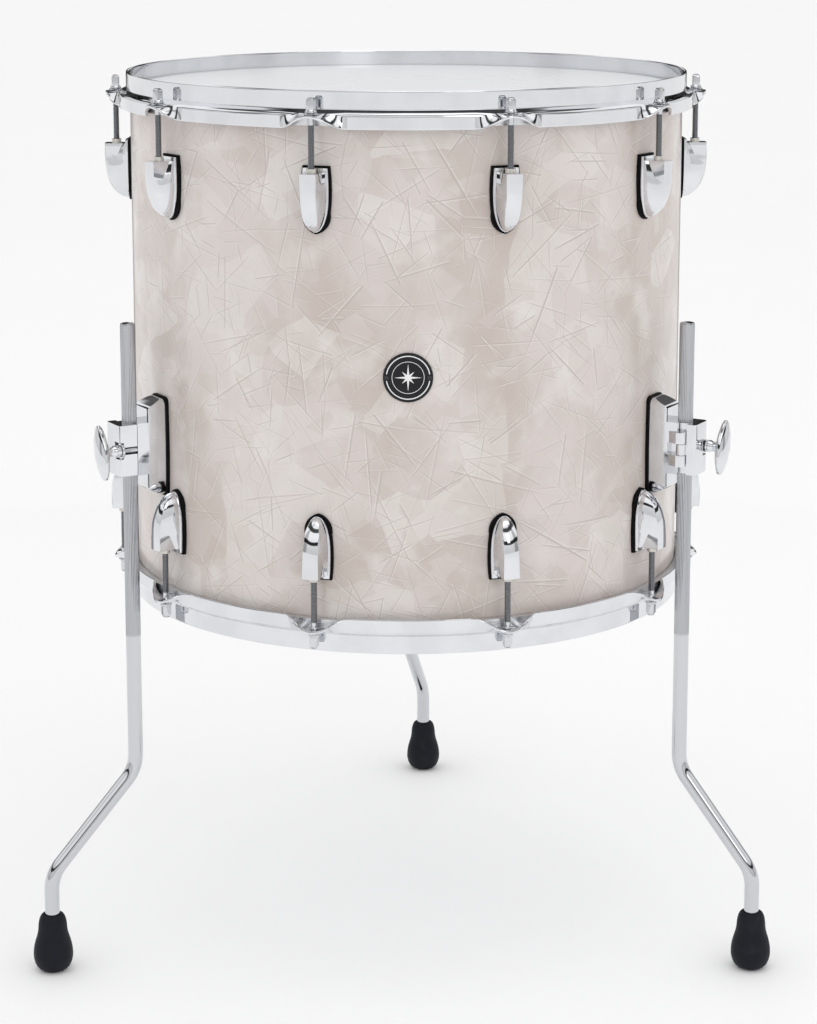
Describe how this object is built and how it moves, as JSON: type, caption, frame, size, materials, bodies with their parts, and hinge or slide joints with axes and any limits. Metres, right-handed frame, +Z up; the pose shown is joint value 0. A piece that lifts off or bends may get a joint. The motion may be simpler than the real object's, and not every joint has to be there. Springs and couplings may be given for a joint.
{
  "type": "floor tom drum",
  "caption": "Floor tom: pearl-wrapped shell between two film heads, chrome hoops, tension rods and lugs, and bent legs with rubber feet that slide in hinged clamps.",
  "frame": {"origin": "on the floor under the shell's axis", "axes": "+Z up along the shell's axis, -Y towards the badge"},
  "size_m": [0.6, 0.5832, 0.7193],
  "materials": {
    "shell_ply": "lacquered maple ply",
    "pearl_wrap": "glossy white pearl with fine crossed shards",
    "badge_enamel": "gloss black with a fine silver ring",
    "rivet_steel": "blackened, satin",
    "grommet_chrome": "mirror",
    "head_film": "satin translucent film",
    "flesh_hoop_aluminium": "satin",
    "hoop_chrome": "mirror",
    "lug_chrome": "mirror",
    "gasket_rubber": "matt",
    "nut_brass": "nickel plated",
    "screw_steel": "zinc plated",
    "rod_chrome": "satin mirror",
    "bracket_chrome": "mirror",
    "leg_chrome": "mirror, fluted above",
    "foot_rubber": "matt"
  },
  "bodies": {
    "root": {"shell": "shell_ply", "wrap": "pearl_wrap", "badge": "badge_enamel", "badge_rivets": "rivet_steel", "vent_grommet": "grommet_chrome", "batter_head": "head_film", "resonant_head": "head_film", "batter_flesh_hoop": "flesh_hoop_aluminium", "resonant_flesh_hoop": "flesh_hoop_aluminium", "top_hoop": "hoop_chrome", "bottom_hoop": "hoop_chrome", "top_lugs": "lug_chrome", "bottom_lugs": "lug_chrome", "lug_gaskets": "gasket_rubber", "bracket_gaskets": "gasket_rubber", "swivel_nuts": "nut_brass", "lug_screws": "screw_steel", "lug_screw_washers": "screw_steel", "bracket_screws": "screw_steel", "bracket_screw_washers": "screw_steel", "hinge_pins": "screw_steel", "rod_washers": "rod_chrome", "left_bracket": "bracket_chrome", "right_bracket": "bracket_chrome", "back_bracket": "bracket_chrome"},
    "top_tension_rod_1": {"top_tension_rod_1": "rod_chrome"},
    "bottom_tension_rod_1": {"bottom_tension_rod_1": "rod_chrome"},
    "top_tension_rod_2": {"top_tension_rod_2": "rod_chrome"},
    "bottom_tension_rod_2": {"bottom_tension_rod_2": "rod_chrome"},
    "top_tension_rod_3": {"top_tension_rod_3": "rod_chrome"},
    "bottom_tension_rod_3": {"bottom_tension_rod_3": "rod_chrome"},
    "top_tension_rod_4": {"top_tension_rod_4": "rod_chrome"},
    "bottom_tension_rod_4": {"bottom_tension_rod_4": "rod_chrome"},
    "top_tension_rod_5": {"top_tension_rod_5": "rod_chrome"},
    "bottom_tension_rod_5": {"bottom_tension_rod_5": "rod_chrome"},
    "top_tension_rod_6": {"top_tension_rod_6": "rod_chrome"},
    "bottom_tension_rod_6": {"bottom_tension_rod_6": "rod_chrome"},
    "top_tension_rod_7": {"top_tension_rod_7": "rod_chrome"},
    "bottom_tension_rod_7": {"bottom_tension_rod_7": "rod_chrome"},
    "top_tension_rod_8": {"top_tension_rod_8": "rod_chrome"},
    "bottom_tension_rod_8": {"bottom_tension_rod_8": "rod_chrome"},
    "top_tension_rod_9": {"top_tension_rod_9": "rod_chrome"},
    "bottom_tension_rod_9": {"bottom_tension_rod_9": "rod_chrome"},
    "top_tension_rod_10": {"top_tension_rod_10": "rod_chrome"},
    "bottom_tension_rod_10": {"bottom_tension_rod_10": "rod_chrome"},
    "left_washer_body": {"left_clamp_washer": "bracket_chrome"},
    "left_screw_body": {"left_t_screw": "bracket_chrome"},
    "left_gate_body": {"left_gate": "bracket_chrome"},
    "left_leg_body": {"left_leg": "leg_chrome", "left_foot": "foot_rubber"},
    "right_washer_body": {"right_clamp_washer": "bracket_chrome"},
    "right_screw_body": {"right_t_screw": "bracket_chrome"},
    "right_gate_body": {"right_gate": "bracket_chrome"},
    "right_leg_body": {"right_leg": "leg_chrome", "right_foot": "foot_rubber"},
    "back_washer_body": {"back_clamp_washer": "bracket_chrome"},
    "back_screw_body": {"back_t_screw": "bracket_chrome"},
    "back_gate_body": {"back_gate": "bracket_chrome"},
    "back_leg_body": {"back_leg": "leg_chrome", "back_foot": "foot_rubber"}
  },
  "joints": [
    {"name": "top_tension_rod_1_turn", "type": "hinge", "parent": "root", "child": "top_tension_rod_1", "pos_m": [0.07779, -0.22747, 0.705], "axis": [0, 0, 1], "continuous": true},
    {"name": "bottom_tension_rod_1_turn", "type": "hinge", "parent": "root", "child": "bottom_tension_rod_1", "pos_m": [0.07779, -0.22747, 0.3011], "axis": [0, 0, -1], "continuous": true},
    {"name": "top_tension_rod_2_turn", "type": "hinge", "parent": "root", "child": "top_tension_rod_2", "pos_m": [0.19663, -0.1383, 0.705], "axis": [0, 0, 1], "continuous": true},
    {"name": "bottom_tension_rod_2_turn", "type": "hinge", "parent": "root", "child": "bottom_tension_rod_2", "pos_m": [0.19663, -0.1383, 0.3011], "axis": [0, 0, -1], "continuous": true},
    {"name": "top_tension_rod_3_turn", "type": "hinge", "parent": "root", "child": "top_tension_rod_3", "pos_m": [0.24037, 0.00369, 0.705], "axis": [0, 0, 1], "continuous": true},
    {"name": "bottom_tension_rod_3_turn", "type": "hinge", "parent": "root", "child": "bottom_tension_rod_3", "pos_m": [0.24037, 0.00369, 0.3011], "axis": [0, 0, -1], "continuous": true},
    {"name": "top_tension_rod_4_turn", "type": "hinge", "parent": "root", "child": "top_tension_rod_4", "pos_m": [0.19229, 0.14427, 0.705], "axis": [0, 0, 1], "continuous": true},
    {"name": "bottom_tension_rod_4_turn", "type": "hinge", "parent": "root", "child": "bottom_tension_rod_4", "pos_m": [0.19229, 0.14427, 0.3011], "axis": [0, 0, -1], "continuous": true},
    {"name": "top_tension_rod_5_turn", "type": "hinge", "parent": "root", "child": "top_tension_rod_5", "pos_m": [0.07077, 0.22975, 0.705], "axis": [0, 0, 1], "continuous": true},
    {"name": "bottom_tension_rod_5_turn", "type": "hinge", "parent": "root", "child": "bottom_tension_rod_5", "pos_m": [0.07077, 0.22975, 0.3011], "axis": [0, 0, -1], "continuous": true},
    {"name": "top_tension_rod_6_turn", "type": "hinge", "parent": "root", "child": "top_tension_rod_6", "pos_m": [-0.07779, 0.22747, 0.705], "axis": [0, 0, 1], "continuous": true},
    {"name": "bottom_tension_rod_6_turn", "type": "hinge", "parent": "root", "child": "bottom_tension_rod_6", "pos_m": [-0.07779, 0.22747, 0.3011], "axis": [0, 0, -1], "continuous": true},
    {"name": "top_tension_rod_7_turn", "type": "hinge", "parent": "root", "child": "top_tension_rod_7", "pos_m": [-0.19663, 0.1383, 0.705], "axis": [0, 0, 1], "continuous": true},
    {"name": "bottom_tension_rod_7_turn", "type": "hinge", "parent": "root", "child": "bottom_tension_rod_7", "pos_m": [-0.19663, 0.1383, 0.3011], "axis": [0, 0, -1], "continuous": true},
    {"name": "top_tension_rod_8_turn", "type": "hinge", "parent": "root", "child": "top_tension_rod_8", "pos_m": [-0.24037, -0.00369, 0.705], "axis": [0, 0, 1], "continuous": true},
    {"name": "bottom_tension_rod_8_turn", "type": "hinge", "parent": "root", "child": "bottom_tension_rod_8", "pos_m": [-0.24037, -0.00369, 0.3011], "axis": [0, 0, -1], "continuous": true},
    {"name": "top_tension_rod_9_turn", "type": "hinge", "parent": "root", "child": "top_tension_rod_9", "pos_m": [-0.19229, -0.14427, 0.705], "axis": [0, 0, 1], "continuous": true},
    {"name": "bottom_tension_rod_9_turn", "type": "hinge", "parent": "root", "child": "bottom_tension_rod_9", "pos_m": [-0.19229, -0.14427, 0.3011], "axis": [0, 0, -1], "continuous": true},
    {"name": "top_tension_rod_10_turn", "type": "hinge", "parent": "root", "child": "top_tension_rod_10", "pos_m": [-0.07077, -0.22975, 0.705], "axis": [0, 0, 1], "continuous": true},
    {"name": "bottom_tension_rod_10_turn", "type": "hinge", "parent": "root", "child": "bottom_tension_rod_10", "pos_m": [-0.07077, -0.22975, 0.3011], "axis": [0, 0, -1], "continuous": true},
    {"name": "left_screw_travel", "type": "slide", "parent": "root", "child": "left_washer_body", "axis": [-0.8616, -0.5075, 0], "range_m": [0, 0.006]},
    {"name": "left_screw_turn", "type": "hinge", "parent": "left_washer_body", "child": "left_screw_body", "pos_m": [-0.23208, -0.14784, 0.4275], "axis": [-0.8616, -0.5075, 0], "range_deg": [0, 2160]},
    {"name": "left_gate_swing", "type": "hinge", "parent": "root", "child": "left_gate_body", "pos_m": [-0.2287, -0.12009, 0.4275], "axis": [0, 0, -1], "range_deg": [0, 12]},
    {"name": "left_leg_slide", "type": "slide", "parent": "root", "child": "left_leg_body", "axis": [0, 0, 1], "range_m": [-0.06, 0.23]},
    {"name": "right_screw_travel", "type": "slide", "parent": "root", "child": "right_washer_body", "axis": [0.8704, -0.4924, 0], "range_m": [0, 0.006]},
    {"name": "right_screw_turn", "type": "hinge", "parent": "right_washer_body", "child": "right_screw_body", "pos_m": [0.24408, -0.12706, 0.4275], "axis": [0.8704, -0.4924, 0], "range_deg": [0, 2160]},
    {"name": "right_gate_swing", "type": "hinge", "parent": "root", "child": "right_gate_body", "pos_m": [0.21835, -0.13801, 0.4275], "axis": [0, 0, -1], "range_deg": [0, 12]},
    {"name": "right_leg_slide", "type": "slide", "parent": "root", "child": "right_leg_body", "axis": [0, 0, 1], "range_m": [-0.06, 0.23]},
    {"name": "back_screw_travel", "type": "slide", "parent": "root", "child": "back_washer_body", "axis": [-0.0087, 1, 0], "range_m": [0, 0.006]},
    {"name": "back_screw_turn", "type": "hinge", "parent": "back_washer_body", "child": "back_screw_body", "pos_m": [-0.012, 0.27491, 0.4275], "axis": [-0.0087, 1, 0], "range_deg": [0, 2160]},
    {"name": "back_gate_swing", "type": "hinge", "parent": "root", "child": "back_gate_body", "pos_m": [0.01035, 0.2581, 0.4275], "axis": [0, 0, -1], "range_deg": [0, 12]},
    {"name": "back_leg_slide", "type": "slide", "parent": "root", "child": "back_leg_body", "axis": [0, 0, 1], "range_m": [-0.06, 0.23]}
  ],
  "couplings": [
    {"joint": "left_screw_turn", "follows": "left_screw_travel", "rad_per_m": 6283.2},
    {"joint": "left_gate_swing", "follows": "left_screw_travel", "rad_per_m": 34.906},
    {"joint": "right_screw_turn", "follows": "right_screw_travel", "rad_per_m": 6283.2},
    {"joint": "right_gate_swing", "follows": "right_screw_travel", "rad_per_m": 34.906},
    {"joint": "back_screw_turn", "follows": "back_screw_travel", "rad_per_m": 6283.2},
    {"joint": "back_gate_swing", "follows": "back_screw_travel", "rad_per_m": 34.906}
  ]
}
